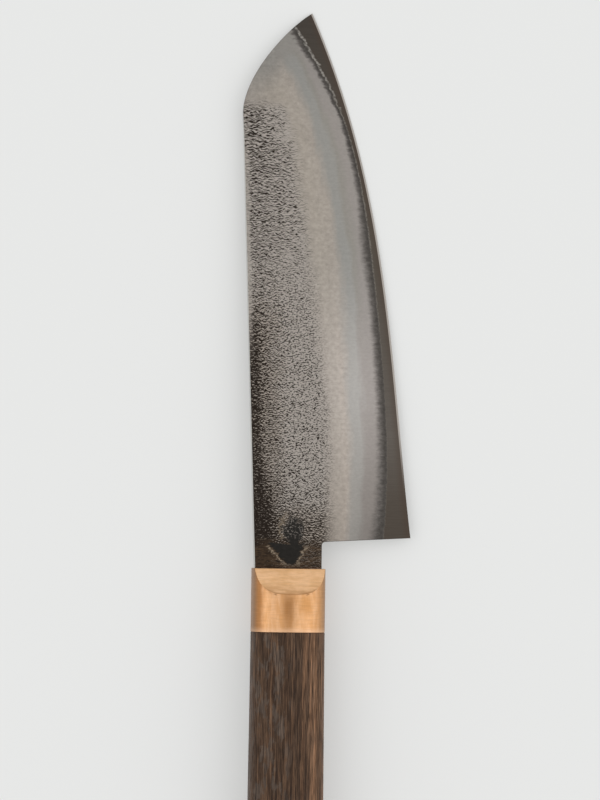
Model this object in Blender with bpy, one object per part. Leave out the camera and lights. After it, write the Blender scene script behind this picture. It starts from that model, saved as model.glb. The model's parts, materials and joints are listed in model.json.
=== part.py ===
"""Hand-forged kitchen knife with a clip point, a copper ferrule and an oak handle, lying on its side.

Metres, +Z up. The pieces are modelled in the knife's own frame: origin at the middle of the ferrule's
front face, +Y along the handle's axis to the tip, +X to the cutting edge, +Z out of the blade's
right-hand side. One empty then lays the knife down as it rests on a table, on the ferrule and on the
cutting edge near the tip, with the middle of its footprint at the world's origin.
"""

import math

import bmesh
import bpy
import numpy as np

# Running room between pieces that touch, and the line where the steel layers are welded
CLEARANCE = 0.0003
WELD_GAP = 0.00005

# Blade seen from the side: how far forward of the ferrule, and how far from the handle's axis
BLADE_REACH = 0.1719
TIP_OFFSET = 0.00515
HEEL_REACH = 0.0098
HEEL_OFFSET = 0.0379
HEEL_FALL = 0.0015
HEEL_FILLET = 0.0011
NECK_EDGE_OFFSET = 0.0101
NECK_SPINE_OFFSET = 0.0106
SPINE_OFFSET = 0.0160
CLIP_LENGTH = 0.0322

# Curve handles: the edge's belly, as share of the chord and distance out from it, and the clip's ends
EDGE_BELLY = ((0.244, 0.0027), (0.536, 0.0106), (0.777, 0.0085))
CLIP_TIP_HANDLE = (0.0085, 0.0054)
CLIP_CORNER_HANDLE = 0.0116

# Blade thickness: along the spine at the neck and at the clip, and what each flat side loses towards the edge
NECK_THICK = 0.0034
CLIP_THICK = 0.0019
FLAT_SLOPE = 0.004
CORE_THICK = 0.0011
EDGE_THICK = 0.0002

# Evenly spaced curve handles: the bevel line's offset from the heel to the clip's corner, and the width of
# the core's bare strip along the cutting edge from the heel to the tip
BEVEL_LINE = (0.0118, 0.0128, 0.0058, -0.0052)
CORE_STRIP = (0.0085, 0.0010, 0.0039, 0.0056, -0.0058, 0.0093)

# Tang
TANG_LENGTH = 0.078
TANG_FRONT_WIDTH = 0.0130
TANG_END_WIDTH = 0.0070
TANG_END_THICK = 0.0022

# Grip section, at the ferrule's front, at its rear and at the butt
SECTION_POWER = 3.2
FRONT_WIDTH = 0.0225
FRONT_THICK = 0.0170
JOINT_WIDTH = 0.0225
JOINT_THICK = 0.0171
BUTT_WIDTH = 0.0236
BUTT_THICK = 0.0184

# Ferrule
FERRULE_LENGTH = 0.0195
FACET_LENGTH = 0.0081
FACET_FRONT_THICK = 0.0076
FERRULE_WALL = 0.0016
SOCKET_DEPTH = 0.010

# Wooden handle and the resin that beds the tang
WOOD_LENGTH = 0.1125
BUTT_CHAMFER = 0.0015
BEDDING_WALL = 0.0015

# How far the knife is rolled to its cutting edge as it lies
LYING_ROLL = math.radians(7.5)

# How finely curves are drawn, how far tools reach past what they cut, and how finely the tilt is found
SECTION_POINTS = 72
EDGE_POINTS = 36
CLIP_POINTS = 24
FILLET_POINTS = 5
BLADE_STATIONS = 28
CUTTER_MARGIN = 0.002
RIM_SHARE = 0.4
SHARP_ANGLE = math.radians(25)
STEEPEST_TILT = math.radians(30)
TILT_STEP = 1e-9

OBJECT_NAME = "clip_point_kitchen_knife"


def clear_scene():
    """Remove every object that the file opened with."""
    for item in list(bpy.data.objects):
        bpy.data.objects.remove(item, do_unlink=True)


def new_collection(name, hidden=False):
    """A collection under the scene's own, left out of renders if hidden."""
    made = bpy.data.collections.new(name)
    made.hide_render = hidden
    bpy.context.scene.collection.children.link(made)
    return made


def finish(name, colour, roughness, metallic):
    """A plain material for one piece."""
    made = bpy.data.materials.new(name)
    made.use_nodes = True
    shader = made.node_tree.nodes["Principled BSDF"]
    shader.inputs["Base Color"].default_value = (*colour, 1.0)
    shader.inputs["Roughness"].default_value = roughness
    shader.inputs["Metallic"].default_value = metallic
    made.diffuse_color = (*colour, 1.0)
    return made


def object_from(name, bm, collection, pose):
    """An object that holds the mesh and lies with the knife."""
    bmesh.ops.recalc_face_normals(bm, faces=bm.faces)
    mesh = bpy.data.meshes.new(name)
    bm.to_mesh(mesh)
    bm.free()
    made = bpy.data.objects.new(name, mesh)
    made.parent = pose
    collection.objects.link(made)
    return made


def loft(name, rings, collection, pose):
    """A closed skin over rings of equally many points, with flat ends."""
    bm = bmesh.new()
    rows = [[bm.verts.new(point) for point in ring] for ring in rings]
    for row, following in zip(rows, rows[1:]):
        for i in range(len(row)):
            j = (i + 1) % len(row)
            bm.faces.new((row[i], row[j], following[j], following[i]))
    bm.faces.new(rows[0])
    bm.faces.new(rows[-1])
    return object_from(name, bm, collection, pose)


def plate(name, outline, half_thick, collection, pose):
    """A flat plate of the outline, cut from a filled 2D curve."""
    curve = bpy.data.curves.new(name, "CURVE")
    curve.dimensions = "2D"
    curve.fill_mode = "BOTH"
    curve.extrude = half_thick
    spline = curve.splines.new("POLY")
    spline.points.add(len(outline) - 1)
    for point, (x, y) in zip(spline.points, outline):
        point.co = (x, y, 0.0, 1.0)
    spline.use_cyclic_u = True
    drawn = bpy.data.objects.new(name, curve)
    collection.objects.link(drawn)
    graph = bpy.context.evaluated_depsgraph_get()
    mesh = bpy.data.meshes.new_from_object(drawn.evaluated_get(graph))
    bpy.data.objects.remove(drawn, do_unlink=True)
    bm = bmesh.new()
    bm.from_mesh(mesh)
    bpy.data.meshes.remove(mesh)
    bmesh.ops.remove_doubles(bm, verts=bm.verts, dist=0.000001)
    return object_from(name, bm, collection, pose)


def wedge(name, front, end, collection, pose):
    """A tapering bar centred on the handle's axis; each end is (place along it, width, thickness)."""
    rings = []
    for y, width, thick in (front, end):
        corners = ((1, 1), (-1, 1), (-1, -1), (1, -1))
        rings.append([(sx * width / 2, y, sz * thick / 2) for sx, sz in corners])
    return loft(name, rings, collection, pose)


def combine(piece, tool, operation):
    """Cut the piece with a hidden tool, or keep only what both share."""
    tool.hide_render = True
    tool.display_type = "WIRE"
    step = piece.modifiers.new(operation.lower() + "_" + tool.name, "BOOLEAN")
    step.operation = operation
    step.solver = "EXACT"
    step.object = tool


def pulled(values, share):
    """The value that evenly spaced curve handles give at a share of the way along them."""
    order = len(values) - 1
    weights = [math.comb(order, i) * (1 - share) ** (order - i) * share**i for i in range(order + 1)]
    return sum(weight * value for weight, value in zip(weights, values))


def bezier(handles, count):
    """Points along the curve that the handles pull, both ends included."""
    across = [handle[0] for handle in handles]
    along = [handle[1] for handle in handles]
    return [(pulled(across, step / count), pulled(along, step / count)) for step in range(count + 1)]


def edge_curve():
    """The cutting edge from heel to tip."""
    heel = np.array((HEEL_OFFSET, HEEL_REACH))
    chord = np.array((TIP_OFFSET, BLADE_REACH)) - heel
    outwards = np.array((chord[1], -chord[0])) / np.linalg.norm(chord)
    inner = [tuple(heel + share * chord + bulge * outwards) for share, bulge in EDGE_BELLY]
    return bezier([tuple(heel), *inner, tuple(heel + chord)], EDGE_POINTS)


def spine_offset(y):
    """The spine's distance from the handle's axis: one straight line from the neck to the clip."""
    share = y / (BLADE_REACH - CLIP_LENGTH)
    return -(NECK_SPINE_OFFSET + share * (SPINE_OFFSET - NECK_SPINE_OFFSET))


def clip_curve():
    """The clip from the tip down to its corner on the spine."""
    corner = BLADE_REACH - CLIP_LENGTH
    across, back = CLIP_TIP_HANDLE
    high = corner + CLIP_CORNER_HANDLE
    handles = [
        (TIP_OFFSET, BLADE_REACH),
        (TIP_OFFSET - across, BLADE_REACH - back),
        (spine_offset(high), high),
        (spine_offset(corner), corner),
    ]
    return bezier(handles, CLIP_POINTS)


def heel_fillet():
    """The small inside radius where the neck meets the heel, from the neck's side to the heel's line."""
    middle_x = NECK_EDGE_OFFSET + HEEL_FILLET
    middle_y = HEEL_REACH - HEEL_FALL - HEEL_FILLET
    points = []
    for step in range(FILLET_POINTS + 1):
        angle = math.pi - step / FILLET_POINTS * math.pi / 2
        points.append((middle_x + HEEL_FILLET * math.cos(angle), middle_y + HEEL_FILLET * math.sin(angle)))
    return points


def blade_outline():
    """The whole forging seen from the side, tang included."""
    shoulder = CLEARANCE
    outline = [(TANG_END_WIDTH / 2, -TANG_LENGTH), (TANG_FRONT_WIDTH / 2, shoulder)]
    outline.append((NECK_EDGE_OFFSET, shoulder))
    outline += heel_fillet()
    outline += edge_curve()
    outline += clip_curve()[1:]
    outline.append((spine_offset(shoulder), shoulder))
    outline += [(-TANG_FRONT_WIDTH / 2, shoulder), (-TANG_END_WIDTH / 2, -TANG_LENGTH)]
    return outline


def share_between(y, start, end):
    """Share of the way from one place along the blade to another, from 0 to 1."""
    return min(max((y - start) / (end - start), 0.0), 1.0)


def flat_half_thick(x, y):
    """Half the forging's thickness on its flat sides, which are planes that close in to the tip and the edge."""
    if y < 0.0:
        along = NECK_THICK + (NECK_THICK - TANG_END_THICK) * y / TANG_LENGTH
    else:
        along = NECK_THICK - (NECK_THICK - CLIP_THICK) * y / (BLADE_REACH - CLIP_LENGTH)
    return along / 2 - FLAT_SLOPE * (x + SPINE_OFFSET)


def edge_offset(y):
    """The cutting edge's distance from the handle's axis."""
    edge = edge_curve()
    return float(np.interp(y, [point[1] for point in edge], [point[0] for point in edge]))


def bevel_offset(y):
    """The line where the flat side turns into the bevel."""
    return pulled(BEVEL_LINE, share_between(y, HEEL_REACH, BLADE_REACH - CLIP_LENGTH))


def weld_offset(y):
    """The line where the cladding runs out and the core steel shows."""
    return edge_offset(y) - pulled(CORE_STRIP, share_between(y, HEEL_REACH, BLADE_REACH))


def blade_stations():
    """Places along the forging where its section is drawn."""
    back = [-TANG_LENGTH - CUTTER_MARGIN, 0.0]
    length = BLADE_REACH + CUTTER_MARGIN - HEEL_REACH
    return back + [HEEL_REACH + step / BLADE_STATIONS * length for step in range(BLADE_STATIONS + 1)]


def core_section(y):
    """The core: a flat bar that tapers from the weld line to the cutting edge, drawn past the outline."""
    spine = -SPINE_OFFSET - CUTTER_MARGIN
    weld = weld_offset(y)
    edge = edge_offset(y)
    fall = (CORE_THICK - EDGE_THICK) / 2 / (edge - weld)
    rim = min(CUTTER_MARGIN, RIM_SHARE * EDGE_THICK / fall)
    thin = EDGE_THICK / 2 - rim * fall
    half = CORE_THICK / 2
    return [
        (spine, y, half),
        (weld, y, half),
        (edge + rim, y, thin),
        (edge + rim, y, -thin),
        (weld, y, -half),
        (spine, y, -half),
    ]


def cladding_section(y, side):
    """One cladding layer: flat against the core, running out to nothing at the weld line."""
    spine = -SPINE_OFFSET - CUTTER_MARGIN
    bevel = bevel_offset(y)
    inner = CORE_THICK / 2 + WELD_GAP
    return [
        (spine, y, side * inner),
        (weld_offset(y), y, side * inner),
        (bevel, y, side * flat_half_thick(bevel, y)),
        (spine, y, side * flat_half_thick(spine, y)),
    ]


def make_blade(parts, cutters, pose):
    """The three welded layers, each trimmed to the same outline."""
    trim = plate("blade_outline", blade_outline(), NECK_THICK, cutters, pose)
    places = blade_stations()
    core = loft("core_steel", [core_section(y) for y in places], parts, pose)
    right = loft("right_cladding", [cladding_section(y, 1) for y in places], parts, pose)
    left = loft("left_cladding", [cladding_section(y, -1) for y in places], parts, pose)
    core.data.materials.append(finish("dark_core_steel", (0.085, 0.070, 0.060), 0.34, 1.0))
    skin = finish("forged_cladding_steel", (0.22, 0.20, 0.18), 0.42, 1.0)
    for layer in (core, right, left):
        combine(layer, trim, "INTERSECT")
    for layer in (right, left):
        layer.data.materials.append(skin)
    return [core, right, left]


def section_ring(y, width, thick):
    """A rounded, slightly boxy oval across the handle's axis."""
    ring = []
    for step in range(SECTION_POINTS):
        angle = 2 * math.pi * step / SECTION_POINTS
        cos, sin = math.cos(angle), math.sin(angle)
        x = math.copysign(abs(cos) ** (2 / SECTION_POWER), cos) * width / 2
        z = math.copysign(abs(sin) ** (2 / SECTION_POWER), sin) * thick / 2
        ring.append((x, y, z))
    return ring


def grip_size(y):
    """Width and thickness of the grip at a place along it."""
    places = (-FERRULE_LENGTH - WOOD_LENGTH, -FERRULE_LENGTH, 0.0)
    width = float(np.interp(y, places, (BUTT_WIDTH, JOINT_WIDTH, FRONT_WIDTH)))
    thick = float(np.interp(y, places, (BUTT_THICK, JOINT_THICK, FRONT_THICK)))
    return width, thick


def facet_tool(name, side, cutters, pose):
    """A block above, or below, the slope from the ferrule's front edge up to its full thickness."""
    low = FACET_FRONT_THICK / 2
    high = grip_size(-FACET_LENGTH)[1] / 2
    rise = (high - low) / FACET_LENGTH
    ahead = CUTTER_MARGIN
    behind = FACET_LENGTH + CUTTER_MARGIN
    roof = FRONT_THICK
    reach = FRONT_WIDTH
    rings = []
    for x in (-reach, reach):
        rings.append(
            [
                (x, ahead, side * (low - rise * ahead)),
                (x, -behind, side * (low + rise * behind)),
                (x, -behind, side * roof),
                (x, ahead, side * roof),
            ]
        )
    return loft(name, rings, cutters, pose)


def tang_size(y):
    """Width and thickness of the tang at a place along it."""
    width = float(np.interp(y, (-TANG_LENGTH, CLEARANCE), (TANG_END_WIDTH, TANG_FRONT_WIDTH)))
    return width, 2 * flat_half_thick(-width / 2, y)


def tang_room(name, front, room, collection, pose):
    """A bar that stands off the tang all round and past its end by the given room."""
    end = -TANG_LENGTH - room
    front_width, front_thick = tang_size(front)
    end_width, end_thick = tang_size(-TANG_LENGTH)
    return wedge(
        name,
        (front, front_width + 2 * room, front_thick + 2 * room),
        (end, end_width + 2 * room, end_thick + 2 * room),
        collection,
        pose,
    )


def make_ferrule(parts, cutters, pose):
    """The copper collar: solid around the tang in front, a socket for the wood behind."""
    rings = [section_ring(y, *grip_size(y)) for y in (0.0, -FERRULE_LENGTH)]
    ferrule = loft("ferrule", rings, parts, pose)
    socket_floor = SOCKET_DEPTH - FERRULE_LENGTH
    socket_rings = []
    for y in (socket_floor, -FERRULE_LENGTH - CUTTER_MARGIN):
        width, thick = grip_size(-FERRULE_LENGTH)
        socket_rings.append(section_ring(y, width - 2 * FERRULE_WALL, thick - 2 * FERRULE_WALL))
    combine(ferrule, facet_tool("upper_facet", 1, cutters, pose), "DIFFERENCE")
    combine(ferrule, facet_tool("lower_facet", -1, cutters, pose), "DIFFERENCE")
    combine(ferrule, tang_room("tang_slot", CUTTER_MARGIN, CLEARANCE, cutters, pose), "DIFFERENCE")
    combine(ferrule, loft("wood_socket", socket_rings, cutters, pose), "DIFFERENCE")
    ferrule.data.materials.append(finish("brushed_copper", (0.78, 0.45, 0.26), 0.35, 1.0))
    return ferrule


def make_handle(parts, cutters, pose):
    """The oak grip, with a tenon in the ferrule's socket and a bore for the bedded tang."""
    joint = -FERRULE_LENGTH - CLEARANCE
    butt = -FERRULE_LENGTH - WOOD_LENGTH
    width, thick = grip_size(-FERRULE_LENGTH)
    less = 2 * (FERRULE_WALL + CLEARANCE)
    tenon_front = SOCKET_DEPTH - FERRULE_LENGTH - CLEARANCE
    butt_width, butt_thick = grip_size(butt)
    rings = [
        section_ring(tenon_front, width - less, thick - less),
        section_ring(joint, width - less, thick - less),
        section_ring(joint, width, thick),
        section_ring(butt + BUTT_CHAMFER, *grip_size(butt + BUTT_CHAMFER)),
        section_ring(butt, butt_width - 2 * BUTT_CHAMFER, butt_thick - 2 * BUTT_CHAMFER),
    ]
    handle = loft("handle", rings, parts, pose)
    room = CLEARANCE + BEDDING_WALL + CLEARANCE
    bore = tang_room("tang_bore", tenon_front + CUTTER_MARGIN, room, cutters, pose)
    combine(handle, bore, "DIFFERENCE")
    handle.data.materials.append(finish("dark_oak", (0.095, 0.055, 0.035), 0.55, 0.0))
    return handle


def make_bedding(parts, cutters, pose):
    """The hardened resin between the tang and the bore."""
    front = SOCKET_DEPTH - FERRULE_LENGTH - CLEARANCE
    bedding = tang_room("tang_bedding", front, CLEARANCE + BEDDING_WALL, parts, pose)
    hollow = tang_room("tang_pocket", front + CUTTER_MARGIN, CLEARANCE, cutters, pose)
    combine(bedding, hollow, "DIFFERENCE")
    bedding.data.materials.append(finish("amber_resin", (0.30, 0.17, 0.06), 0.45, 0.0))
    return bedding


def points_of(pieces):
    """Every corner of the finished pieces, in the knife's own frame."""
    graph = bpy.context.evaluated_depsgraph_get()
    found = []
    for piece in pieces:
        solid = piece.evaluated_get(graph)
        mesh = solid.to_mesh()
        flat = np.empty(len(mesh.vertices) * 3, np.float32)
        mesh.vertices.foreach_get("co", flat)
        solid.to_mesh_clear()
        found.append(flat.reshape(-1, 3).astype(float))
    return np.concatenate(found)


def heights(points, roll, tilt):
    """Height of each point once the knife is rolled to its edge and then tilted to its tip."""
    rolled = points[:, 2] * math.cos(roll) - points[:, 0] * math.sin(roll)
    return rolled * math.cos(tilt) - points[:, 1] * math.sin(tilt)


def lying_tilt(blade, grip):
    """Tilt at which the rolled knife touches the table with its ferrule and with its blade."""
    level, steep = 0.0, STEEPEST_TILT
    while steep - level > TILT_STEP:
        middle = (level + steep) / 2
        blade_is_low = heights(blade, LYING_ROLL, middle).min() < heights(grip, LYING_ROLL, middle).min()
        level, steep = (level, middle) if blade_is_low else (middle, steep)
    return level


def lay_down(pose, blade, grip):
    """Turn the knife as it rests, and put the middle of its footprint at the origin."""
    blade_points = points_of(blade)
    grip_points = points_of(grip)
    pose.rotation_mode = "YXZ"
    pose.rotation_euler = (-lying_tilt(blade_points, grip_points), LYING_ROLL, 0.0)
    turn = np.array(pose.rotation_euler.to_matrix())
    turned = np.concatenate((blade_points, grip_points)) @ turn.T
    low, high = turned.min(axis=0), turned.max(axis=0)
    pose.location = (-(low[0] + high[0]) / 2, -(low[1] + high[1]) / 2, -low[2])


def shade(pieces):
    """Smooth shading on round stretches, sharp at real edges."""
    for piece in pieces:
        piece.data.shade_smooth()
        piece.data.set_sharp_from_angle(angle=SHARP_ANGLE)


def main():
    clear_scene()
    parts = new_collection(OBJECT_NAME)
    cutters = new_collection("cutters", hidden=True)
    pose = bpy.data.objects.new("lying_pose", None)
    parts.objects.link(pose)
    blade = make_blade(parts, cutters, pose)
    ferrule = make_ferrule(parts, cutters, pose)
    handle = make_handle(parts, cutters, pose)
    make_bedding(parts, cutters, pose)
    shade([ferrule, handle])
    lay_down(pose, blade, [ferrule, handle])


main()
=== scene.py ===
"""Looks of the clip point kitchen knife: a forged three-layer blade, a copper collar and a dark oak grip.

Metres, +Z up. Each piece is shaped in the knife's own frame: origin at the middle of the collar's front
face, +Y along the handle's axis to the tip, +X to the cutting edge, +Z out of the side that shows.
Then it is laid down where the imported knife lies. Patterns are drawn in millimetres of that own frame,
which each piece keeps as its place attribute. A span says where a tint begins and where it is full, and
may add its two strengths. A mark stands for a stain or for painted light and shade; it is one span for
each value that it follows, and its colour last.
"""

import json
import math

import bpy
import numpy as np
from mathutils import Matrix, Vector, noise


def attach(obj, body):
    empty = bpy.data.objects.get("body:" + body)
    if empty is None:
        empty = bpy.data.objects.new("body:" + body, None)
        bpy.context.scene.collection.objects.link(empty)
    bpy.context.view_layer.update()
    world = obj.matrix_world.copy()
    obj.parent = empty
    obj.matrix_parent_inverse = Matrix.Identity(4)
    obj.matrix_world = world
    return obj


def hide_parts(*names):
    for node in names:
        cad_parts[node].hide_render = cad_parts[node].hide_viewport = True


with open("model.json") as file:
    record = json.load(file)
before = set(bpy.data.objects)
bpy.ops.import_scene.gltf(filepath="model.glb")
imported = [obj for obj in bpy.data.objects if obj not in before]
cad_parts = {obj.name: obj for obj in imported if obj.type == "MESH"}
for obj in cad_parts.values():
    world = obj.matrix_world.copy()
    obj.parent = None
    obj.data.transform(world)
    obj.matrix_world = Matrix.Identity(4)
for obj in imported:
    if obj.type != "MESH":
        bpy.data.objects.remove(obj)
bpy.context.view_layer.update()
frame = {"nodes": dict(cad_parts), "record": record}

MM = 0.001

# Blade seen from the side
BLADE_REACH = 0.1719
TIP_OFFSET = 0.00515
HEEL_REACH = 0.0098
HEEL_OFFSET = 0.0379
HEEL_FALL = 0.0015
HEEL_FILLET = 0.0011
NECK_EDGE_OFFSET = 0.0101
NECK_SPINE_OFFSET = 0.0106
SPINE_OFFSET = 0.016
CLIP_LENGTH = 0.0322
EDGE_BELLY = ((0.244, 0.0027), (0.536, 0.0106), (0.777, 0.0085))
CLIP_TIP_HANDLE = (0.0085, 0.0054)
CLIP_CORNER_HANDLE = 0.0116
CLIP_CORNER = BLADE_REACH - CLIP_LENGTH
SHOULDER = 0.00003

# Blade thickness
NECK_THICK = 0.0034
CLIP_THICK = 0.0019
FLAT_SLOPE = 0.004
CORE_THICK = 0.0011
WELD_GAP = 0.00004
BEVEL_LINE = (0.0118, 0.0128, 0.0058, -0.0052)
CORE_STRIP = (0.0085, 0.001, 0.0039, 0.0056, -0.0058, 0.0093)
MICRO_BEVEL = 0.00055
MICRO_BEVEL_HALF = 0.00014
MICRO_BEVEL_SHARE = 0.4
WORN_EDGE = 0.0002
CORE_WEAR = 0.5

# Tang
TANG_LENGTH = 0.078
TANG_FRONT_WIDTH = 0.013
TANG_END_WIDTH = 0.007
TANG_END_THICK = 0.0022

# Grip section, collar and wood
SECTION_POWER = 3.2
SECTION_EASE = 0.00004
JOINT_GAP = 0.00008
FRONT_SIZE = (0.0225, 0.017)
JOINT_SIZE = (0.0225, 0.0171)
BUTT_SIZE = (0.0236, 0.0184)
FERRULE_LENGTH = 0.0195
FACET_LENGTH = 0.0081
FACET_FRONT_THICK = 0.0076
FACET_BEVEL = 0.00016
FACET_BEVEL_STEPS = 3
FACET_LEAN = (0.42, 0.7)
FERRULE_WALL = 0.0016
FERRULE_ROUNDING = 0.00012
SOCKET_DEPTH = 0.01
WOOD_LENGTH = 0.1125
WOOD_ROUNDING = 0.00015
WOOD_ROUNDED = 0.0006
BUTT_CHAMFER = 0.0015
BUTT_ROUND_SHARE = 0.9
BEDDING_WALL = 0.0015
CLEARANCE = 0.0003
CUT_MARGIN = 0.002
LYING_ROLL = math.radians(7.5)

# Grain relief of the wood: its depth, its waves in millimetres and where it stops short
GRAIN_DEPTH = 0.00005
GRAIN_WAVE = (0.8, 26, 0.8)
GRAIN_OFF_JOINT = 0.0004
GRAIN_OFF_BUTT = 0.3 * BUTT_CHAMFER

# How finely the pieces are drawn
CURVE_STEPS = 400
CLIP_STEPS = 4000
HEEL_ROUNDS = 4
PITTED_COLUMNS = 62
GROUND_COLUMNS = 12
CORE_COLUMNS = (8, 4, 14, 3)
WORN_COLUMNS = (0, 0.0022, 0.0055, 0.0118)
EVEN_COLUMNS_FROM = 0.0236
BODY_ROWS = 1015
NECK_ROWS = 44
FILLET_ROWS = 8
TANG_ROWS = 6
GRIP_POINTS = 192
ROUNDING_RINGS = 4
COLLAR_RINGS = 40
WOOD_RINGS = 150
BUTT_RINGS = 6
JOIN = 1e-6
SAME_FACING = 1e-4

# Faces that meet at less than this many degrees are shaded as one surface
FORGED_ANGLE = 50
CORE_ANGLE = 8
COLLAR_ANGLE = 24
GRIP_ANGLE = 35

# Pits of the forge skin; each side of the blade has its own pattern
RIGHT_SEED = 2.0
LEFT_SEED = 41.0
SOFT_RIM = 0.0004
PIT_DEPTH = 0.00014
PIT_LEVELS = (-0.4, 2.6)
LEAST_PIT = 0.01
PIT_WAVE = (5, 4, 3)
PIT_SWAY = 0.8
PIT_DASH = (1.5, 0.5)
PIT_DASH_WEIGHT = 0.25

# Width of the dark band beside the weld line, in millimetres, at places in metres
BAND_PLACES = (0.011, 0.021, 0.036, 0.052, 0.083, 0.1, 0.115, 0.136, 0.143, 0.152, 0.163)
BAND_WIDTHS = (2.9, 2.4, 2.15, 1.95, 1.8, 2.3, 1.35, 1.4, 1.15, 1.65, 2.4)

# Ripples of the forge skin: drift, ragged, hairs and clusters, each with its width, height and seed
SKIN_RIPPLES = ((5, 9, 11), (3.2, 0.8, 17), (4, 0.45, 19), (3.6, 2.2, 23))

# The skin's limit towards the edge: past the bevel line, and how it widens between two places
CLIP = CLIP_CORNER / MM
SKIN_PAST_BEVEL = 0.7
SKIN_WIDER = ((1.2, 85, 115), (1.6, 118, 132), (-6.5, CLIP, CLIP + 11))
RAGGED_SWAY = 0.9
HAIR_SWAY = 0.6
SKIN_FADE = (-2.8, 3.4)
CLIP_SKIN_END = CLIP + 6
CLIP_SKIN_DRIFT = 2
CLIP_SKIN_FADE = (0, 5.5)

# Fields of the skin: how far drift and clusters sway each, and from where to where it fades
BARE_BOTTOM = (4, 0, 62, 82)
BARE_TOP = (4, 0, 122, 136)
BARE_WIDTH = (0.5, 1.9)
BARE_RAGGED = 0.8
BARE_SKIN = 0.5
LOW_HALF = (3, 0, 68, 94)
SCALE_EDGE = (2.4, 1.4, 3, 12.5)
NECK_TOP = (2, 1.6, 12, 22)
NECK_SLANT = 0.08
NECK_SLANT_FROM = 4
BORDER_WIDTH = 2.8
BORDER_WIDER = 2.2
BORDER_WIDENS = (0, 0, 16, 38)
BORDER_EDGE = (1.2, 0.8, -1.3, 1.7)
BORDER_TOP = (4, 0, 62, 86)
HIGH_PLACE = (4, 132)
HIGH_SIZE = (5.2, 17)
HIGH_FADE = (0.2, 1.1)
BACK_DARK = (1.5, 0, 1, 17)
HEEL_DARK = (2.5, 0, 15, 40)
PALE_SIDE = (5, 11)
PALE_SIDE_WEIGHT = 0.22

# Darkness of the skin, and what the high patch, scale, heel, neck, border and bare strip add to it
DARK_LEVEL = 0.3
DARK_WEIGHTS = (0.55, 1.55, 1.25, 1.7, 2.4, -2.2)

# The bare arrow on the neck: steepness, direction, foot across, foot along and slope of its two sides
ARROW_SIDES = ((0.74, -1, -0.9, 1.1, 0.92), (0.92, 1, 2.2, 1.2, 0.42))
ARROW_ENDS = (0.9, 8)
LOBE_PLACE = (1.2, 11)
LOBE_SIZE = (3.4, 5.2)
LOBE_STEEPNESS = 2.2
FAR = 10

# Patterns: fineness across, along and up in waves a millimetre, detail, roughness and twist
STROKES = ((0.1, 4, 0.1), 2, 0.6)
MOTTLE = ((0.9, 1.3, 0.9), 3, 0.65)
CLOUDS = ((0.2, 0.05, 0.2), 3, 0.6)
RAGGED = ((0.45, 1.3, 0.45), 4, 0.65)
BLOTCHES = ((0.75, 0.75, 0.75), 3, 0.6)
SPECKS = ((2.1, 7.5, 2.1), 1.5, 0.7)
SKIN_WAVES = ((0.95, 0.65, 0.95), 1)
DASHES = ((0.8, 3.1, 0.8), 1)
CRUMBS = ((1.4, 2.5, 1.4), 2, 0.55)
DOTS = ((1.7, 2.6, 1.7), 1)
FLECKS = ((1.3, 3, 1.3), 1)
HAIRS = ((0.3, 3.4, 0.3), 1.5, 0.6, 0.5)
NECK_GRAIN = ((0.35, 2.2, 0.35), 3, 0.65)
WELD_WAVES = ((0.55, 0.85, 0.55), 3, 0.6)
WELD_BREAKS = ((1.2, 1.6, 1.2),)
CORE_STROKES = ((0.12, 2.6, 0.12), 3, 0.6)
COPPER_STROKES = ((0.22, 3, 0.22), 3, 0.7, 0.4)
COPPER_CLOUDS = ((0.75, 0.14, 0.75), 3, 0.6)
COPPER_SMEARS = ((0.16, 0.6, 0.16), 3, 0.6)
COPPER_STREAKS = ((1.2, 0.16, 1.2), 2, 0.6)
OAK_STREAKS = ((1.6, 0.038, 0.85), 5, 0.68)
OAK_BROAD = ((0.55, 0.015, 0.28), 2)
OAK_FIBRES = ((3.6, 0.17, 3), 3, 0.65)
OAK_PORES = ((5.6, 0.15, 4), 1.5)
OAK_SHEEN_CLOUDS = ((0.38, 0.13, 0.38), 4, 0.65)
OAK_TURN = (0, math.radians(35), 0)
RESIN_CLOUDS = ((160, 40, 160), 2)
PATTERN_SPAN = (0.25, 0.75)

# Ground bevel: tints from the weld line towards the spine, low on the blade and high on it
TINT_SPAN = 26
TINT_WANDER = (5, -3.4)
LOW_GROUND = (
    (0, 158, 151, 146),
    (0.14, 158, 151, 146),
    (0.21, 160, 153, 148),
    (0.27, 169, 165, 160),
    (0.36, 166, 162, 157),
    (0.46, 176, 166, 157),
    (0.54, 172, 163, 154),
    (1, 160, 151, 143),
)
HIGH_GROUND = (
    (0, 144, 139, 134),
    (0.12, 146, 140, 135),
    (0.2, 140, 136, 129),
    (0.26, 144, 142, 137),
    (0.33, 143, 141, 136),
    (0.42, 157, 149, 140),
    (0.58, 158, 150, 140),
    (0.75, 156, 148, 138),
    (1, 152, 145, 137),
)
LOW_TO_HIGH = (58, 98)
CLIP_GREY = ((143, 156), (11, 2), (141, 137, 131))
BLOTCHED = (0.3, 0.46)
BLOTCH_WEIGHT = 0.6
STROKE_SHADES = (0.975, 1.025)
MOTTLE_SHADES = (0.95, 1.05)

# Levels of the ground from the heel to the tip, as factors
BLADE_SPAN = 172
LENGTHWISE = (
    (0, 0.79, 0.78, 0.76),
    (0.12, 0.845, 0.835, 0.815),
    (0.29, 1, 1, 1),
    (0.5, 1, 1, 1),
    (0.68, 1.02, 1.01, 1),
    (0.81, 1.01, 1, 0.99),
    (0.89, 0.945, 0.94, 0.935),
    (1, 0.9, 0.9, 0.9),
)

# Darker places near the heel: where along the blade, where across its tints, and how much
HEEL_TINTS = (((58, 10), (0.46, 0.22), -0.23), ((46, 22), (0.3, 0.44), -0.05))

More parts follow.
